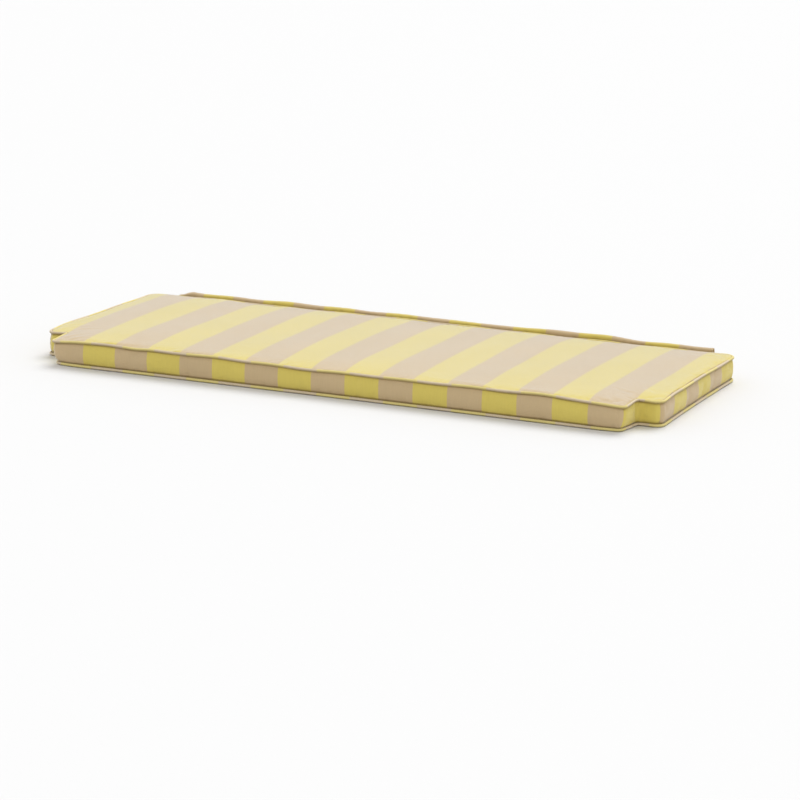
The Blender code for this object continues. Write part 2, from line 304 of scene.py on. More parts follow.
def cover_mesh():
    """The cover as quads: a grid for the top panel, rings for boxing, grooves and underside."""
    front_x = graded(-HALF_FRONT, HALF_FRONT, CORNER_CELL, CELL, CORNER_CELL_REACH)
    wing_x = even(HALF_FRONT, HALF_BODY, CELL)
    notch_y = graded(FRONT_Y, SHOULDER_Y, FINE_CELL, NOTCH_CELL, FINE_REACH)
    body_y = graded(SHOULDER_Y, REAR_Y, FINE_CELL, COARSE_CELL, FINE_REACH)
    lines = (
        (front_x + HALF_FRONT) / (2 * HALF_FRONT),
        (notch_y - FRONT_Y) / NOTCH_DEPTH,
        (wing_x - HALF_FRONT) / (HALF_BODY - HALF_FRONT),
        (body_y - SHOULDER_Y) / (REAR_Y - SHOULDER_Y),
    )
    grid_x = np.concatenate([-wing_x[::-1], front_x[1:-1], wing_x])
    grid_y = np.concatenate([notch_y, body_y[1:]])
    wing = len(wing_x) - 1
    right = len(grid_x) - 1 - wing
    step = len(notch_y) - 1
    index = -np.ones((len(grid_x), len(grid_y)), dtype=int)
    sharp = []
    for j, y in enumerate(grid_y):
        for i, x in enumerate(grid_x):
            if j >= step or wing <= i <= right:
                index[i, j] = len(sharp)
                sharp.append((x, y))
    sharp = np.array(sharp)
    faces = []
    face_materials = []
    for j in range(len(grid_y) - 1):
        for i in range(len(grid_x) - 1):
            if j >= step or wing <= i < right:
                faces.append((index[i, j], index[i + 1, j], index[i + 1, j + 1], index[i, j + 1]))
                face_materials.append(0)
    plan = drawn_in(rounded(sharp, 0.0))
    top = np.column_stack([plan, top_z(sharp)])
    last_x = len(grid_x) - 1
    last_y = len(grid_y) - 1
    loop = [index[i, 0] for i in range(wing, right)]
    loop += [index[right, j] for j in range(0, step)]
    loop += [index[i, step] for i in range(right, last_x)]
    loop += [index[last_x, j] for j in range(step, last_y)]
    loop += [index[i, last_y] for i in range(last_x, 0, -1)]
    loop += [index[0, j] for j in range(last_y, step, -1)]
    loop += [index[i, step] for i in range(0, wing)]
    loop += [index[wing, j] for j in range(step, 0, -1)]
    edge_plan, edge_sharp, _ = ring_at(TOP_EDGE_INSET, lines)
    top[loop, :2] = edge_plan
    top[loop, 2] = UPPER_SEAM_Z + TOP_EDGE_RISE + seam_height(edge_sharp)
    points = [top]
    upper_lip = UPPER_SEAM_Z - LIP
    lower_lip = LOWER_SEAM_Z + LIP
    stations = [(inset, UPPER_SEAM_Z + rise) for inset, rise in TOP_TURN]
    stations += [(GROOVE_INSET, UPPER_SEAM_Z), (0.0, upper_lip)]
    for row in range(BOXING_ROWS - 1, 0, -1):
        share = row / BOXING_ROWS
        bulge = BOXING_BULGE * (1 - abs(2 * share - 1) ** BOXING_FULLNESS)
        stations.append((-bulge, lower_lip + (upper_lip - lower_lip) * share))
    stations += [(0.0, lower_lip), (GROOVE_INSET, LOWER_SEAM_Z), UNDERSIDE_TURN]
    stations += [(inset, 0.0) for inset in BOTTOM_INSETS]
    start = len(sharp)
    before = loop
    for inset, z in stations:
        plan, sharp_ring, edge_of = ring_at(inset, lines)
        share = min(z / UPPER_SEAM_Z, 1.0) if z > LOWER_SEAM_Z else 0.0
        height = z + seam_height(sharp_ring) * share
        points.append(np.column_stack([plan + tucked(sharp_ring, z), height]))
        ring = list(range(start, start + len(plan)))
        start += len(plan)
        for k in range(len(ring)):
            n = (k + 1) % len(ring)
            faces.append((before[k], ring[k], ring[n], before[n]))
            side = edge_of[k] in SIDE_RUNS and z > LOWER_SEAM_Z
            face_materials.append(1 if side else 0)
        before = ring
    return np.concatenate(points), faces, face_materials


def subdivide(item):
    """Replace an object's mesh with its form after one step of subdivision."""
    modifier = item.modifiers.new("smooth", "SUBSURF")
    modifier.levels = 1
    modifier.render_levels = 1
    graph = bpy.context.evaluated_depsgraph_get()
    mesh = bpy.data.meshes.new_from_object(item.evaluated_get(graph))
    item.modifiers.clear()
    item.data = mesh


def close_underside(item):
    """Fill the one open ring, on the underside, with a flat face."""
    mesh = bmesh.new()
    mesh.from_mesh(item.data)
    rim = [edge for edge in mesh.edges if edge.is_boundary]
    bmesh.ops.contextual_create(mesh, geom=rim)
    bmesh.ops.recalc_face_normals(mesh, faces=mesh.faces[:])
    mesh.to_mesh(item.data)
    mesh.free()


def mesh_coordinates(mesh):
    """The places of a mesh's points, one row each."""
    places = np.empty(3 * len(mesh.vertices))
    mesh.vertices.foreach_get("co", places)
    return places.reshape(-1, 3)


def mesh_normals(mesh):
    """The normals at a mesh's points, one row each."""
    normals = np.empty(3 * len(mesh.vertices))
    mesh.vertices.foreach_get("normal", normals)
    return normals.reshape(-1, 3)


def set_attribute(mesh, name, values):
    """Give each point of a mesh a value that its material can read."""
    attribute = mesh.attributes.new(name, "FLOAT", "POINT")
    attribute.data.foreach_set("value", np.asarray(values, dtype=np.float32))


# Puckers that the stitching pulls into the cloth along a seam: distance from one to the next, width,
# depth, and the distance from the seam at which they are deepest
PUCKER_STEP = 0.0005
TOP_PUCKERS = {"seed": 11, "apart": (0.008, 0.021), "width": (0.0018, 0.0045),
               "depth": (0.0002, 0.0008), "deepest": 0.0048}
BOXING_PUCKERS = {"seed": 23, "apart": (0.006, 0.017), "width": (0.0014, 0.0036),
                  "depth": (0.0002, 0.0009), "deepest": 0.0036}
LOWER_PUCKERS = {"seed": 37, "apart": (0.009, 0.024), "width": (0.0016, 0.0040),
                 "depth": (0.0002, 0.0008), "deepest": 0.0034}
BROAD_PUCKERS = {"seed": 71, "apart": (0.022, 0.070), "width": (0.0050, 0.0140),
                 "depth": (0.0003, 0.0011), "deepest": 0.0060}
BROAD_LOWER_PUCKERS = {"seed": 83, "apart": (0.025, 0.080), "width": (0.0050, 0.0140),
                       "depth": (0.0003, 0.0010), "deepest": 0.0055}


def pucker_depths(kind, length):
    """Depth of the puckers at every small step along a closed seam."""
    random = np.random.default_rng(kind["seed"])
    places = np.arange(0.0, length, PUCKER_STEP)
    depths = np.zeros_like(places)
    place = 0.0
    while place < length:
        away = np.abs(places - place)
        away = np.minimum(away, length - away)
        width = random.uniform(*kind["width"])
        depths += random.uniform(*kind["depth"]) * np.exp(-(away / width) ** 2)
        place += random.uniform(*kind["apart"])
    return places, depths


# Step along a seam's line
SEAM_LINE_STEP = 0.0015


def seam_line(seam_z, follows_seam, inset=0.0, step=SEAM_LINE_STEP):
    """A seam's line round the plan: its points, and how far along it each one lies."""
    lines = (
        even(0, 1, step / (2 * HALF_FRONT)),
        even(0, 1, step / NOTCH_DEPTH),
        even(0, 1, step / (HALF_BODY - HALF_FRONT)),
        even(0, 1, step / (REAR_Y - SHOULDER_Y)),
    )
    plan, sharp, _ = ring_at(inset, lines)
    rise = seam_height(sharp) if follows_seam else np.zeros(len(sharp))
    line = np.column_stack([plan + tucked(sharp, seam_z), seam_z + rise])
    steps = np.linalg.norm(np.roll(line, -1, axis=0) - line, axis=1)
    along = np.concatenate([[0.0], np.cumsum(steps)[:-1]])
    return line, along, steps.sum()


def place_on_seam(points, line, along):
    """For each point, how far along the seam it lies, how far away from it and how far above it."""
    tree = KDTree(len(line))
    for i, place in enumerate(line):
        tree.insert(place, i)
    tree.balance()
    nearest = np.array([tree.find(point)[1] for point in points])
    tangent = np.roll(line, -1, axis=0) - np.roll(line, 1, axis=0)
    tangent /= np.linalg.norm(tangent, axis=1)[:, None]
    apart = points - line[nearest]
    forward = np.sum(apart * tangent[nearest], axis=1)
    apart = apart - forward[:, None] * tangent[nearest]
    return along[nearest] + forward, np.linalg.norm(apart, axis=1), apart[:, 2]


def puckered(kind, length, place, away):
    """How deep the puckers are at each place along a seam and distance away from it."""
    places, depths = pucker_depths(kind, length)
    near = away / kind["deepest"]
    return np.interp(place % length, places, depths) * near * np.exp(1 - near)


# Soft creases of the top panel near its corners: start, heading in degrees, length, width and depth
TOP_CREASES = (
    (-0.505, 0.012, 52, 0.075, 0.0050, 0.0010),
    (-0.492, 0.006, 28, 0.060, 0.0042, 0.0007),
    (0.508, 0.010, 128, 0.080, 0.0052, 0.0011),
    (0.496, 0.005, 155, 0.055, 0.0040, 0.0008),
    (0.516, 0.070, 160, 0.070, 0.0050, 0.0009),
    (-0.516, 0.072, 22, 0.065, 0.0050, 0.0009),
    (0.545, 0.425, 216, 0.085, 0.0060, 0.0010),
    (0.550, 0.400, 195, 0.060, 0.0048, 0.0006),
    (-0.548, 0.428, 322, 0.080, 0.0058, 0.0009),
    (-0.552, 0.090, 40, 0.070, 0.0050, 0.0008),
    (0.552, 0.092, 142, 0.075, 0.0052, 0.0009),
)

# Form of each crease: how fast it starts, how it fades, and the ridge beside it and its place
CREASE_START = 5
CREASE_FADE = 1.5
CREASE_RIDGE = 0.5
CREASE_RIDGE_PLACE = 1.8


def creases(points):
    """Depth of the creases at each point of the top panel, with a low ridge beside each."""
    depth = np.zeros(len(points))
    for x, y, heading, length, width, deepest in TOP_CREASES:
        turn = math.radians(heading)
        forward = np.array([math.cos(turn), math.sin(turn)])
        apart = points[:, :2] - np.array([x, FRONT_Y + y])
        along = apart @ forward / length
        across = (apart @ np.array([-forward[1], forward[0]])) / width
        window = np.clip(along * CREASE_START, 0, 1) * np.clip(1 - along, 0, 1) ** CREASE_FADE
        ridge = CREASE_RIDGE * np.exp(-(np.abs(across) - CREASE_RIDGE_PLACE) ** 2)
        depth += deepest * window * (np.exp(-across ** 2) - ridge)
    return depth


# Upright seams of the boxing at the outer corners, with small ripples beside them and painted shade in
# their grooves
CORNER_SEAM_DEPTH = 0.0008
CORNER_SEAM_WIDTH = 0.0015
CORNER_SEAM_SHADE = 0.7
CORNER_SEAM_SHADE_WIDTH = 0.0011
RIPPLE_DEPTH = 0.00035
RIPPLE_LENGTH = 0.0085
RIPPLE_SLANT = 40
RIPPLE_START = 0.002
RIPPLE_REACH = 0.009


def from_corner_seams(points):
    """Distance in plan from the nearest upright seam."""
    nearest = np.full(len(points), 1.0)
    for corner_x, corner_y, inwards, radius in CONVEX_CORNERS:
        for side in (-1, 1):
            slack = radius * (1 - math.sqrt(0.5))
            place = np.array([[side * (corner_x - slack), corner_y + inwards * slack]])
            seam = place + tucked(np.repeat(place, len(points), axis=0), points[:, 2])
            nearest = np.minimum(nearest, np.linalg.norm(points[:, :2] - seam, axis=1))
    return nearest


# Painted shade, a dark line on the boxing in the groove beside each piping: its width and the softness
# of both its edges
SEAM_SHADE_START = 0.0039
SEAM_SHADE_WIDTH = 0.0009
SEAM_SHADE_EDGE = 0.0006

# How steep a face of the cover is before it counts as upright or level
STEEPNESS = 1.6
UPRIGHT_FROM = 1.3
LEVEL_FROM = 0.4
UNDERSIDE_REACH = 0.004


def painted_seam_shade(away, beyond):
    """Painted shade on the boxing beside a seam; beyond is how far past the seam a point lies."""
    dark = np.exp(-(np.clip(away - SEAM_SHADE_START, 0, None) / SEAM_SHADE_WIDTH) ** 2)
    return dark * np.clip(beyond / SEAM_SHADE_EDGE, 0, 1)


def sew(cover):
    """Press the puckers, creases and upright seams into the cover and mark where shade is painted beside
    its seams.
    """
    mesh = cover.data
    points = mesh_coordinates(mesh)
    normals = mesh_normals(mesh)
    upright = np.clip(UPRIGHT_FROM - STEEPNESS * np.abs(normals[:, 2]), 0, 1)
    level = np.clip(STEEPNESS * normals[:, 2] - LEVEL_FROM, 0, 1)
    above = np.clip((points[:, 2] - LOWER_SEAM_Z) / UNDERSIDE_REACH, 0, 1)
    upper, upper_along, upper_length = seam_line(UPPER_SEAM_Z, True)
    lower, lower_along, lower_length = seam_line(LOWER_SEAM_Z, False)
    place, away, height = place_on_seam(points, upper, upper_along)
    low_place, low_away, low_height = place_on_seam(points, lower, lower_along)
    at_upper = (upper_length, place, away)
    at_lower = (lower_length, low_place, low_away)
    depth = level * puckered(TOP_PUCKERS, *at_upper)
    depth += upright * puckered(BOXING_PUCKERS, *at_upper)
    depth += upright * puckered(LOWER_PUCKERS, *at_lower)
    depth += upright * puckered(BROAD_PUCKERS, *at_upper)
    depth += upright * puckered(BROAD_LOWER_PUCKERS, *at_lower)
    depth += level * creases(points)
    corner = from_corner_seams(points)
    groove = CORNER_SEAM_DEPTH * np.exp(-(corner / CORNER_SEAM_WIDTH) ** 2)
    ripple = np.sin(2 * np.pi * points[:, 2] / RIPPLE_LENGTH + RIPPLE_SLANT * points[:, 0])
    ripple *= RIPPLE_DEPTH * np.exp(-corner / RIPPLE_REACH) * (1 - np.exp(-(corner / RIPPLE_START) ** 2))
    depth += upright * (groove + ripple)
    points -= normals * (depth * above)[:, None]
    mesh.vertices.foreach_set("co", points.ravel())
    # Painted shade in the grooves below the upper piping, above the lower piping and along the upright
    # corner seams
    dark = painted_seam_shade(away, -height) + painted_seam_shade(low_away, low_height)
    line = np.exp(-(corner / CORNER_SEAM_SHADE_WIDTH) ** 2)
    dark += CORNER_SEAM_SHADE * upright * above * line
    set_attribute(mesh, "painted_seam_shade", np.clip(dark, 0, 1))
    mesh.update()


# Short cloth simulation that fills the cover out
PRESSURE = 4.0
MOST_MOVE = 0.0015
HELD_REACH = 0.002
SIMULATION_END = 20


def press_out(cover):
    """Let the filling press the cover out between its seams, and keep the move small."""
    mesh = cover.data
    before = mesh_coordinates(mesh).copy()
    away = from_edges(before)
    held = cover.vertex_groups.new(name="held")
    lowest = UPPER_SEAM_Z - LIP
    for i, (place, inset) in enumerate(zip(before, away)):
        if place[2] < LOWER_SEAM_Z + LIP or (inset < HELD_REACH and place[2] > lowest):
            held.add([i], 1.0, "REPLACE")
    modifier = cover.modifiers.new("cloth", "CLOTH")
    settings = modifier.settings
    settings.quality = 6
    settings.mass = 0.25
    settings.tension_stiffness = 18
    settings.compression_stiffness = 18
    settings.shear_stiffness = 8
    settings.bending_stiffness = 0.6
    settings.use_pressure = True
    settings.uniform_pressure_force = PRESSURE
    settings.vertex_group_mass = "held"
    settings.shrink_min = -0.006
    settings.effector_weights.gravity = 0
    modifier.point_cache.frame_start = 1
    modifier.point_cache.frame_end = SIMULATION_END
    scene = bpy.context.scene
    for frame_number in range(1, SIMULATION_END + 1):
        scene.frame_set(frame_number)
    graph = bpy.context.evaluated_depsgraph_get()
    moved = cover.evaluated_get(graph).to_mesh()
    after = mesh_coordinates(moved).copy()
    cover.evaluated_get(graph).to_mesh_clear()
    cover.modifiers.clear()
    cover.vertex_groups.clear()
    scene.frame_set(1)
    move = after - before
    length = np.linalg.norm(move, axis=1)
    keep = MOST_MOVE * np.tanh(length / MOST_MOVE) / np.maximum(length, 1e-9)
    mesh.vertices.foreach_set("co", (before + move * keep[:, None]).ravel())
    mesh.update()


def math_node(tree, operation, first, second=None):
    """The output of a new math node; first and second are numbers or sockets."""
    made = tree.nodes.new("ShaderNodeMath")
    made.operation = operation
    for socket, value in zip(made.inputs, (first, second)):
        if value is None:
            continue
        if isinstance(value, (int, float)):
            socket.default_value = value
        else:
            tree.links.new(value, socket)
    return made.outputs[0]


def noise(tree, coordinates, scale, detail):
    """Noise from about -0.5 to 0.5; scale may differ along X, Y and Z."""
    mapping = tree.nodes.new("ShaderNodeMapping")
    mapping.inputs["Scale"].default_value = scale
    tree.links.new(coordinates, mapping.inputs["Vector"])
    made = tree.nodes.new("ShaderNodeTexNoise")
    made.inputs["Scale"].default_value = 1.0
    made.inputs["Detail"].default_value = detail
    tree.links.new(mapping.outputs["Vector"], made.inputs["Vector"])
    return math_node(tree, "SUBTRACT", made.outputs["Fac"], 0.5)


# Colours and weave of the cloth
BEIGE = (0.60, 0.447, 0.245)
YELLOW = (0.71, 0.575, 0.118)
# Colours of the pipings' cloth: the same two stripe colours made paler, a painted highlight where the
# cords catch the light
PAINTED_HIGHLIGHT_BEIGE = (0.70, 0.58, 0.40)
PAINTED_HIGHLIGHT_YELLOW = (0.78, 0.66, 0.25)
STRIPE_EDGE = 0.02
THREAD_PITCH = 0.0009
SLUB_ALONG = 55.0
SLUB_ACROSS = 850.0
SLUB_DETAIL = 2.0
SLUB_TONE = 0.10
MOTTLE = 14.0
MOTTLE_DETAIL = 3.0
MOTTLE_TONE = 0.10
THREAD_HEIGHT = 0.25
WEAVE_STRENGTH = 0.5
WEAVE_DEPTH = 0.0003
CLOTH_ROUGHNESS = 0.75
CLOTH_SPECULAR = 0.5
SHEEN_ROUGHNESS = 0.4
# Painted shade beside the seams: how strongly it darkens the cloth, and the shadowed brown it darkens
# towards
PAINTED_SHADE_DARKNESS = 0.68
PAINTED_SHADE_BROWN = (0.20, 0.12, 0.025)
SIDE_SHEEN = 0.4
PIPING_SHEEN = 0.1


def cloth_material(name, place, start, width, colours=(YELLOW, BEIGE), sheen=1.0):
    """Striped woven cloth. place is X, Y or the name of an attribute that runs across the stripes."""
    material = bpy.data.materials.new(name)
    material.use_nodes = True
    tree = material.node_tree
    shader = tree.nodes["Principled BSDF"]
    shader.inputs["Roughness"].default_value = CLOTH_ROUGHNESS
    shader.inputs["Specular IOR Level"].default_value = CLOTH_SPECULAR
    shader.inputs["Sheen Weight"].default_value = sheen
    shader.inputs["Sheen Roughness"].default_value = SHEEN_ROUGHNESS
    coordinates = tree.nodes.new("ShaderNodeTexCoord").outputs["Object"]
    split = tree.nodes.new("ShaderNodeSeparateXYZ")
    tree.links.new(coordinates, split.inputs[0])
    if place in ("X", "Y"):
        across = split.outputs[place]
    else:
        attribute = tree.nodes.new("ShaderNodeAttribute")
        attribute.attribute_name = place
        across = attribute.outputs["Fac"]
    turn = math_node(tree, "MULTIPLY", math_node(tree, "SUBTRACT", across, start), math.pi / width)
    mask = tree.nodes.new("ShaderNodeMapRange")
    mask.inputs["From Min"].default_value = -STRIPE_EDGE
    mask.inputs["From Max"].default_value = STRIPE_EDGE
    tree.links.new(math_node(tree, "SINE", turn), mask.inputs["Value"])
    stripes = tree.nodes.new("ShaderNodeMix")
    stripes.data_type = "RGBA"
    stripes.inputs["A"].default_value = (*colours[0], 1)
    stripes.inputs["B"].default_value = (*colours[1], 1)
    tree.links.new(mask.outputs["Result"], stripes.inputs["Factor"])
    slub_scale = (SLUB_ACROSS, SLUB_ALONG, SLUB_ALONG)
    if place == "Y":
        slub_scale = (SLUB_ALONG, SLUB_ACROSS, SLUB_ALONG)
    slubs = noise(tree, coordinates, slub_scale, SLUB_DETAIL)
    mottle = noise(tree, coordinates, (MOTTLE, MOTTLE, MOTTLE), MOTTLE_DETAIL)
    # Painted shade: where a mesh marks shade beside its seams, the colour is mixed towards the shadowed
    # brown
    shade = tree.nodes.new("ShaderNodeAttribute")
    shade.attribute_name = "painted_seam_shade"
    light = math_node(tree, "ADD", 1.0, math_node(tree, "MULTIPLY", slubs, SLUB_TONE))
    light = math_node(tree, "ADD", light, math_node(tree, "MULTIPLY", mottle, MOTTLE_TONE))
    tone = tree.nodes.new("ShaderNodeHueSaturation")
    tree.links.new(light, tone.inputs["Value"])
    tree.links.new(stripes.outputs["Result"], tone.inputs["Color"])
    seams = tree.nodes.new("ShaderNodeMix")
    seams.data_type = "RGBA"
    seams.inputs["B"].default_value = (*PAINTED_SHADE_BROWN, 1)
    tree.links.new(tone.outputs["Color"], seams.inputs["A"])
    darkness = math_node(tree, "MULTIPLY", shade.outputs["Fac"], PAINTED_SHADE_DARKNESS)
    tree.links.new(darkness, seams.inputs["Factor"])
    tree.links.new(seams.outputs["Result"], shader.inputs["Base Color"])
    threads = None
    for axis in ("X", "Y", "Z"):
        thread_turn = math_node(tree, "MULTIPLY", split.outputs[axis], 2 * math.pi / THREAD_PITCH)
        wave = math_node(tree, "SINE", thread_turn)
        threads = wave if threads is None else math_node(tree, "ADD", threads, wave)
    height = math_node(tree, "ADD", math_node(tree, "MULTIPLY", threads, THREAD_HEIGHT), slubs)
    bump = tree.nodes.new("ShaderNodeBump")
    bump.inputs["Strength"].default_value = WEAVE_STRENGTH
    bump.inputs["Distance"].default_value = WEAVE_DEPTH
    tree.links.new(height, bump.inputs["Height"])
    tree.links.new(bump.outputs["Normal"], shader.inputs["Normal"])
    return material


def make_cover():
    """The sewn cover over the filling, with its boxing and underside."""
    points, faces, face_materials = cover_mesh()
    materials = [
        cloth_material("cover_cloth", "X", -HALF_FRONT, STRIPE),
        cloth_material("side_boxing_cloth", "Y", FRONT_Y - STRIPE, STRIPE, sheen=SIDE_SHEEN),
    ]
    cover = new_object("cushion_cover", points, faces, materials, face_materials)
    press_out(cover)
    subdivide(cover)
    sew(cover)
    close_underside(cover)
    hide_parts("cushion")
    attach(cover, "root")


# Pipings: cells, then the gathers and lumps of their covers, then the painted shade on the side of each
# cord that lies in shade, and its spread. That side is an angle, from 0, outwards, by way of upwards.
PIPING_STEP = 0.002
PIPING_SIDES = 12
PIPING_SEEDS = {"upper_piping": 429, "lower_piping": 42}
GATHER_LENGTH = 0.0052
GATHER_DEPTH = 0.14
GATHER_CREST = -0.2
GATHER_SLANT = 1.2
GATHER_SPAN = 9
LUMP_DEPTH = 0.05
LUMP_SPAN = 5
PAINTED_SHADE_SIDE = {"upper_piping": math.radians(328), "lower_piping": math.radians(105)}
PAINTED_SHADE_SPREAD = math.radians(36)


def smoothed_random(random, low, high, count, span):
    """Random values along a line, each the mean of span neighbours."""
    return np.convolve(random.uniform(low, high, count + span - 1), np.ones(span) / span, "valid")


def make_piping(name, seam_z, follows_seam, node_name):
    """A covered cord in its seam, all round the plan, with slanted gathers in its cloth, paler colours
    as painted highlight, and painted shade on one side.
    """
    line, along, length = seam_line(seam_z, follows_seam, -PIPING_OUTSET, PIPING_STEP)
    random = np.random.default_rng(PIPING_SEEDS[node_name])
    tangent = np.roll(line, -1, axis=0) - np.roll(line, 1, axis=0)
    tangent /= np.linalg.norm(tangent, axis=1)[:, None]
    outwards = np.column_stack([tangent[:, 1], -tangent[:, 0], np.zeros(len(line))])
    outwards /= np.linalg.norm(outwards, axis=1)[:, None]
    upwards = np.cross(outwards, tangent)
    count = len(line)
    gathers = GATHER_DEPTH * smoothed_random(random, 0, 1, count, GATHER_SPAN)
    lumps = LUMP_DEPTH * smoothed_random(random, -1, 1, count, LUMP_SPAN)
    turns = round(length / GATHER_LENGTH)
    points = []
    shade = []
    for side in range(PIPING_SIDES):
        angle = 2 * math.pi * side / PIPING_SIDES
        ridge = np.sin(2 * np.pi * turns * along / length + GATHER_SLANT * angle)
        radius = PIPING_RADIUS * (1 - gathers * np.clip(ridge, GATHER_CREST, 1) + lumps)
        points.append(line + radius[:, None] * (math.cos(angle) * outwards + math.sin(angle) * upwards))
        # Painted shade on the side of the cord that lies in shade: its lower front on the upper piping,
        # its top on the lower piping
        turn = (angle - PAINTED_SHADE_SIDE[node_name] + math.pi) % (2 * math.pi) - math.pi
        shade.append(np.full(count, math.exp(-(turn / PAINTED_SHADE_SPREAD) ** 2)))
    faces = []
    for side in range(PIPING_SIDES):
        other = (side + 1) % PIPING_SIDES
        for k in range(count):
            n = (k + 1) % count
            faces.append((side * count + k, side * count + n, other * count + n, other * count + k))
    start = PIPING_STRIPE_START + PIPING_STRIPE
    # Painted highlight: the pipings take the paler copies of the cloth's colours
    colours = (PAINTED_HIGHLIGHT_YELLOW, PAINTED_HIGHLIGHT_BEIGE)
    material = cloth_material(name + "_cloth", "along", start, PIPING_STRIPE, colours, PIPING_SHEEN)
    piping = new_object(name, np.concatenate(points), faces, [material])
    middle = np.argmin(np.abs(line[:, 0]) + np.abs(line[:, 1] - FRONT_Y))
    set_attribute(piping.data, "along", np.tile(along - along[middle], PIPING_SIDES))
    set_attribute(piping.data, "painted_seam_shade", np.concatenate(shade))
    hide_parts(node_name)
    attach(piping, "root")


# Flap: ends, section from the seam outwards and upwards, hem, ends of its arch and ripples
FLAP_LEFT = -0.515
FLAP_RIGHT = 0.524
FLAP_THICKNESS = 0.0018
FLAP_SECTION = (
    (0.0022, -0.0064), (0.0050, -0.0004), (0.0056, 0.0032), (0.0076, 0.0057), (0.0112, 0.0069),
    (0.0150, 0.0056), (0.0172, 0.0022), (0.0180, -0.0050), (0.0176, -0.0180),
)
FLAP_TOP = 0.0069
FLAP_HEM_OUT = 0.0165
FLAP_HEM_Z = 0.0065
FLAP_END_DROP = 0.85
FLAP_END_REACH = 0.017
FLAP_PUFF = 0.20
FLAP_PUFF_X = -0.489
FLAP_PUFF_REACH = 0.012
FLAP_WAVES = ((0.0005, 0.270, 1.3), (0.0003, 0.105, 0.0))
FLAP_SWELLS = ((-0.270, 0.120, 0.0010), (0.030, 0.090, -0.0010), (0.270, 0.120, 0.0022))
FLAP_STEP = 0.003
FLAP_ROWS = 30
FLAP_RIPPLES = {"seed": 51, "apart": (0.007, 0.022), "width": (0.0025, 0.0060),
                "depth": (0.0002, 0.0009)}
FLAP_RIPPLE_FIRST_ROWS = 3
FLAP_RIPPLE_ROWS = 9
# Painted shade at the foot of the flap, where it meets the top panel: the row where it starts to fade,
# how fast it fades, and how far the ripples move it
FLAP_SHADE_ROW = 2.5
FLAP_SHADE_ROWS = 2.2
FLAP_SHADE_RIPPLE = 900

# Stitches along the flap's hem, each thick in its middle and sunk at its ends
HEM_STITCH_HEIGHT = 0.0070
HEM_STITCH_PITCH = 0.0034
HEM_STITCH_LENGTH = 0.0025
HEM_STITCH_RADIUS = 0.00028
HEM_STITCH_SIDES = 6
HEM_STITCH_FORM = ((-0.5, 0.0), (-0.32, 0.8), (0.0, 1.0), (0.32, 0.8), (0.5, 0.0))
HEM_STITCH_THINNEST = 0.35
HEM_STITCH_SINK = 0.6
HEM_ROWS = 8
THREAD = (0.72, 0.62, 0.42)
THREAD_DARK_SHARE = 0.75
THREAD_TWIST = 900
THREAD_ROUGHNESS = 0.6
THREAD_SHEEN = 0.3

# Steps of a smooth curve from one given point to the next
CURVE_STEPS = 12


def smooth_line(points, count):
    """Points at even steps along a smooth curve through the given ones."""
    points = np.array(points)
    ends = np.vstack([2 * points[0] - points[1], points, 2 * points[-1] - points[-2]])
    fine = []
    for i in range(len(points) - 1):
        a, b, c, d = ends[i:i + 4]
        for t in np.linspace(0, 1, CURVE_STEPS, endpoint=False):
            fine.append(0.5 * (2 * b + (c - a) * t + (2 * a - 5 * b + 4 * c - d) * t ** 2
                               + (3 * b - a - 3 * c + d) * t ** 3))
    fine.append(points[-1])
    fine = np.array(fine)
    length = np.concatenate([[0], np.cumsum(np.linalg.norm(np.diff(fine, axis=0), axis=1))])
    places = np.linspace(0, length[-1], count)
    return np.column_stack([np.interp(places, length, fine[:, k]) for k in (0, 1)])


def flap_line(x):
    """The flap's middle line at x, from the seam to the hem, as (y, z)."""
    place = np.array([[x, REAR_Y]])
    rear_y = drawn_in(place)[0, 1]
    seam_z = UPPER_SEAM_Z + seam_height(place)[0]
    arch = 1 - FLAP_END_DROP * math.exp(-((x - FLAP_LEFT) / FLAP_END_REACH) ** 2)
    arch += FLAP_PUFF * math.exp(-((x - FLAP_PUFF_X) / FLAP_PUFF_REACH) ** 2)
    wave = sum(height * math.sin(2 * math.pi * x / length + phase)
               for height, length, phase in FLAP_WAVES)
    swell = swells(FLAP_SWELLS, x)
    line = []
    for out, up in FLAP_SECTION:
        share = max(up, 0.0) / FLAP_TOP
        arched = up * (arch if up > 0 else 1.0)
        line.append((rear_y + out + wave * share, seam_z + arched + (wave + swell) * share))
    line.append((rear_y + FLAP_HEM_OUT + wave, FLAP_HEM_Z))
    return smooth_line(line, FLAP_ROWS)


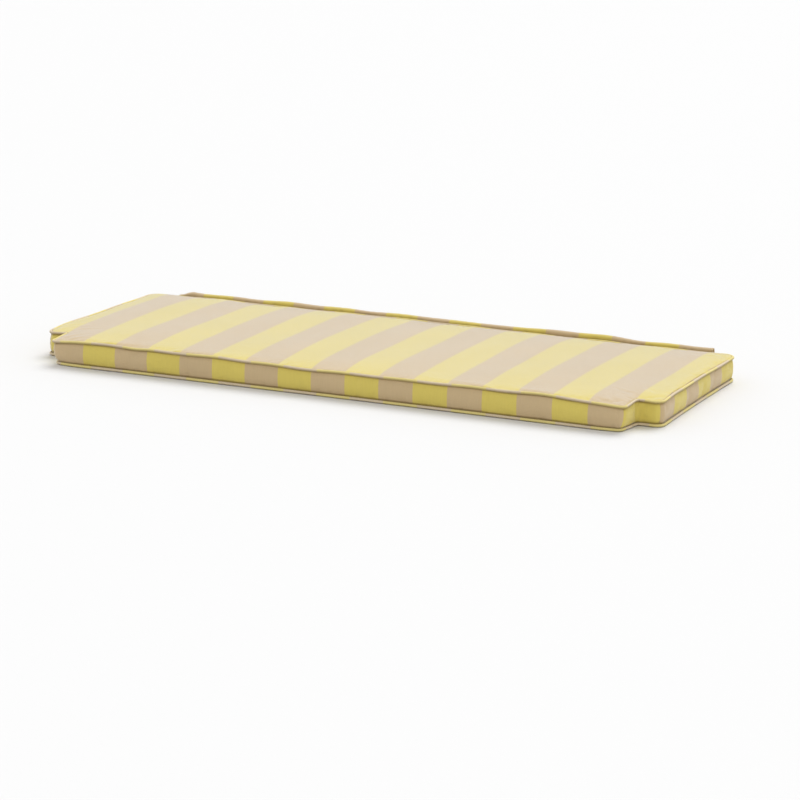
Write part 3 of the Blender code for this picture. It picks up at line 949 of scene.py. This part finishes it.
def make_flap():
    """The doubled strip of the rear edge, gathered a little where it is sewn in, with painted shade
    along its foot.
    """
    xs = even(FLAP_LEFT, FLAP_RIGHT, FLAP_STEP)
    places, depths = pucker_depths(FLAP_RIPPLES, FLAP_RIGHT - FLAP_LEFT)
    rings = []
    shade = []
    rows = np.arange(FLAP_ROWS)
    fade = np.exp(-rows / FLAP_RIPPLE_ROWS) * np.clip(rows / FLAP_RIPPLE_FIRST_ROWS, 0, 1)
    for x in xs:
        line = flap_line(x)
        along = np.gradient(line, axis=0)
        along /= np.linalg.norm(along, axis=1)[:, None]
        normal = np.column_stack([-along[:, 1], along[:, 0]])
        ripple = np.interp(x - FLAP_LEFT, places, depths)
        line = line - normal * (ripple * fade)[:, None]
        normal = normal * FLAP_THICKNESS / 2
        section = np.vstack([line + normal, (line - normal)[::-1]])
        rings.append(np.column_stack([np.full(len(section), x), section]))
        # Painted shade along the foot of the flap, from the seam up a few rows, its edge moved by the
        # ripples
        shaded = FLAP_SHADE_ROW + FLAP_SHADE_RIPPLE * ripple
        dark = np.exp(-(np.clip(rows - shaded, 0, None) / FLAP_SHADE_ROWS) ** 2)
        shade.append(np.concatenate([dark, dark[::-1]]))
    size = 2 * FLAP_ROWS
    faces = []
    for i in range(len(xs) - 1):
        for k in range(size):
            n = (k + 1) % size
            faces.append((i * size + k, (i + 1) * size + k, (i + 1) * size + n, i * size + n))
    for start in (0, (len(xs) - 1) * size):
        for k in range(FLAP_ROWS - 1):
            faces.append((start + k, start + k + 1, start + size - 2 - k, start + size - 1 - k))
    material = cloth_material("flap_cloth", "X", -HALF_FRONT, STRIPE)
    flap = new_object("rear_flap_cloth", np.concatenate(rings), faces, [material])
    set_attribute(flap.data, "painted_seam_shade", np.concatenate(shade))
    mesh = bmesh.new()
    mesh.from_mesh(flap.data)
    bmesh.ops.recalc_face_normals(mesh, faces=mesh.faces[:])
    mesh.to_mesh(flap.data)
    mesh.free()
    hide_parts("rear_flap")
    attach(flap, "root")
    stitches = make_hem_stitches()
    section = np.linalg.norm(np.diff(flap_line(0.0), axis=0), axis=1).sum()


def thread_material():
    """Twisted sewing thread."""
    material = bpy.data.materials.new("sewing_thread")
    material.use_nodes = True
    tree = material.node_tree
    shader = tree.nodes["Principled BSDF"]
    shader.inputs["Roughness"].default_value = THREAD_ROUGHNESS
    shader.inputs["Sheen Weight"].default_value = THREAD_SHEEN
    twist = tree.nodes.new("ShaderNodeTexWave")
    twist.inputs["Scale"].default_value = THREAD_TWIST
    twist.bands_direction = "DIAGONAL"
    tree.links.new(tree.nodes.new("ShaderNodeTexCoord").outputs["Object"], twist.inputs["Vector"])
    tone = tree.nodes.new("ShaderNodeMix")
    tone.data_type = "RGBA"
    tone.inputs["A"].default_value = (*THREAD, 1)
    tone.inputs["B"].default_value = (*(THREAD_DARK_SHARE * channel for channel in THREAD), 1)
    tree.links.new(twist.outputs["Fac"], tone.inputs["Factor"])
    tree.links.new(tone.outputs["Result"], shader.inputs["Base Color"])
    return material


def make_hem_stitches():
    """One row of small thread stitches along the hem of the flap, on its outer face."""
    points = []
    faces = []
    sides = HEM_STITCH_SIDES
    height_on_flap = HEM_STITCH_HEIGHT + FLAP_HEM_Z
    x = FLAP_LEFT + HEM_STITCH_PITCH
    while x < FLAP_RIGHT - HEM_STITCH_PITCH:
        line = flap_line(x)
        y = np.interp(height_on_flap, line[::-1, 1][:HEM_ROWS], line[::-1, 0][:HEM_ROWS])
        centre = np.array([x, y + FLAP_THICKNESS / 2, height_on_flap])
        start = len(points)
        for along, height in HEM_STITCH_FORM:
            radius = HEM_STITCH_RADIUS * max(height, HEM_STITCH_THINNEST)
            sunk = HEM_STITCH_RADIUS * (height - HEM_STITCH_SINK)
            for side in range(sides):
                angle = 2 * math.pi * side / sides
                points.append(centre + np.array([
                    along * HEM_STITCH_LENGTH,
                    sunk + radius * math.cos(angle),
                    radius * math.sin(angle),
                ]))
        for ring in range(len(HEM_STITCH_FORM) - 1):
            for side in range(sides):
                a = start + ring * sides + side
                b = start + ring * sides + (side + 1) % sides
                faces.append((a, b, b + sides, a + sides))
        faces.append(tuple(start + side for side in reversed(range(sides))))
        last = start + (len(HEM_STITCH_FORM) - 1) * sides
        faces.append(tuple(last + side for side in range(sides)))
        x += HEM_STITCH_PITCH
    stitches = new_object("flap_hem_stitches", points, faces, [thread_material()])
    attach(stitches, "root")
    return stitches


# Camera, as far from the cushion and at the angle from which it is photographed
CAMERA_PLACE = (2.12453, -4.79440, 1.20406)
CAMERA_YAW = -0.41137
CAMERA_PITCH = 0.23526
CAMERA_ROLL = 0.0175
CAMERA_LENS = 139.67
CAMERA_SENSOR = 36
CAMERA_REACH = 200


def make_camera():
    """The camera, with its yaw, pitch and roll."""
    ahead = Vector((
        math.sin(CAMERA_YAW) * math.cos(CAMERA_PITCH),
        math.cos(CAMERA_YAW) * math.cos(CAMERA_PITCH),
        -math.sin(CAMERA_PITCH),
    ))
    level = Vector((math.cos(CAMERA_YAW), -math.sin(CAMERA_YAW), 0.0))
    above = level.cross(ahead)
    right = math.cos(CAMERA_ROLL) * level + math.sin(CAMERA_ROLL) * above
    up = math.cos(CAMERA_ROLL) * above - math.sin(CAMERA_ROLL) * level
    data = bpy.data.cameras.new("camera")
    data.lens = CAMERA_LENS
    data.sensor_width = CAMERA_SENSOR
    data.clip_end = CAMERA_REACH
    camera = bpy.data.objects.new("camera", data)
    rotation = Matrix((right, up, -ahead)).transposed().to_4x4()
    camera.matrix_world = Matrix.Translation(CAMERA_PLACE) @ rotation
    bpy.context.scene.collection.objects.link(camera)
    bpy.context.scene.camera = camera


# Floor: half its size, its place just under the cushion, and its tone
FLOOR_REACH = 40.0
FLOOR_Z = -0.0003
FLOOR_TONE = 0.77
FLOOR_ROUGHNESS = 0.9


def make_stage():
    """The pale floor, which isn't part of the object."""
    signs = ((-1, -1), (1, -1), (1, 1), (-1, 1))
    corners = [(x * FLOOR_REACH, y * FLOOR_REACH, FLOOR_Z) for x, y in signs]
    material = bpy.data.materials.new("floor")
    material.use_nodes = True
    shader = material.node_tree.nodes["Principled BSDF"]
    shader.inputs["Base Color"].default_value = (FLOOR_TONE, FLOOR_TONE, FLOOR_TONE, 1)
    shader.inputs["Roughness"].default_value = FLOOR_ROUGHNESS
    floor = new_object("floor", corners, [(0, 1, 2, 3)], [material])


# Light: where the key comes from, its spread and strength, and the light from all round
KEY_FROM = (0.05, 0.90, 1.30)
KEY_SPREAD = math.radians(40)
KEY_STRENGTH = 1.84
WORLD_STRENGTH = 0.78


def make_light():
    """Even light from all round, and a soft key from above and behind, as in a studio."""
    world = bpy.data.worlds.new("studio")
    world.use_nodes = True
    background = world.node_tree.nodes["Background"]
    background.inputs["Color"].default_value = (1.0, 1.0, 1.0, 1)
    background.inputs["Strength"].default_value = WORLD_STRENGTH
    bpy.context.scene.world = world
    data = bpy.data.lights.new("key", "SUN")
    data.angle = KEY_SPREAD
    data.energy = KEY_STRENGTH
    key = bpy.data.objects.new("key", data)
    key.rotation_euler = Vector(KEY_FROM).to_track_quat("Z", "Y").to_euler()
    bpy.context.scene.collection.objects.link(key)
    bpy.context.scene.view_settings.view_transform = "Standard"


make_cover()
make_piping("upper_piping_cord", UPPER_SEAM_Z, True, "upper_piping")
make_piping("lower_piping_cord", LOWER_SEAM_Z, False, "lower_piping")
make_flap()
make_stage()
make_light()
make_camera()
